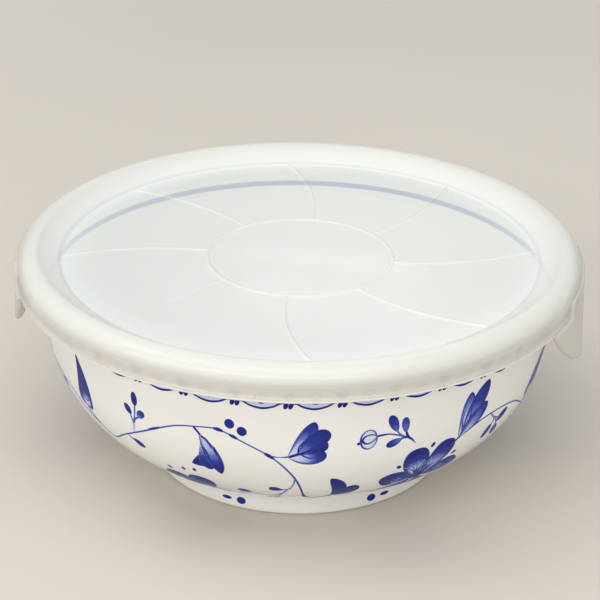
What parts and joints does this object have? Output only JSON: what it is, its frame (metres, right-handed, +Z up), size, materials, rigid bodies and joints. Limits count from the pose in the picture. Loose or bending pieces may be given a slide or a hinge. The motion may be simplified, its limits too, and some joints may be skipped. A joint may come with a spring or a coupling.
{
  "type": "lidded bowl",
  "caption": "Round glazed porcelain bowl on a foot ring with blue floral painting, and a frosted plastic lid that snaps over its lip and has pull tabs.",
  "frame": {"origin": "on the table under the middle of the foot ring", "axes": "+Z up along the axis of the bowl, +X towards the middle of one pull tab of the lid"},
  "size_m": [0.158, 0.1566, 0.0635],
  "materials": {
    "porcelain": "clear gloss glaze over white porcelain",
    "cobalt_paint": "blue brush painting under the glaze",
    "lid_plastic": "frosted, translucent, slightly waxy"
  },
  "bodies": {
    "bowl": {"bowl": "porcelain"},
    "lid": {"lid": "lid_plastic"}
  },
  "joints": [
    {"name": "lid_lift", "type": "slide", "parent": "bowl", "child": "lid", "axis": [0, 0, 1], "range_m": [0, 0.08]}
  ]
}
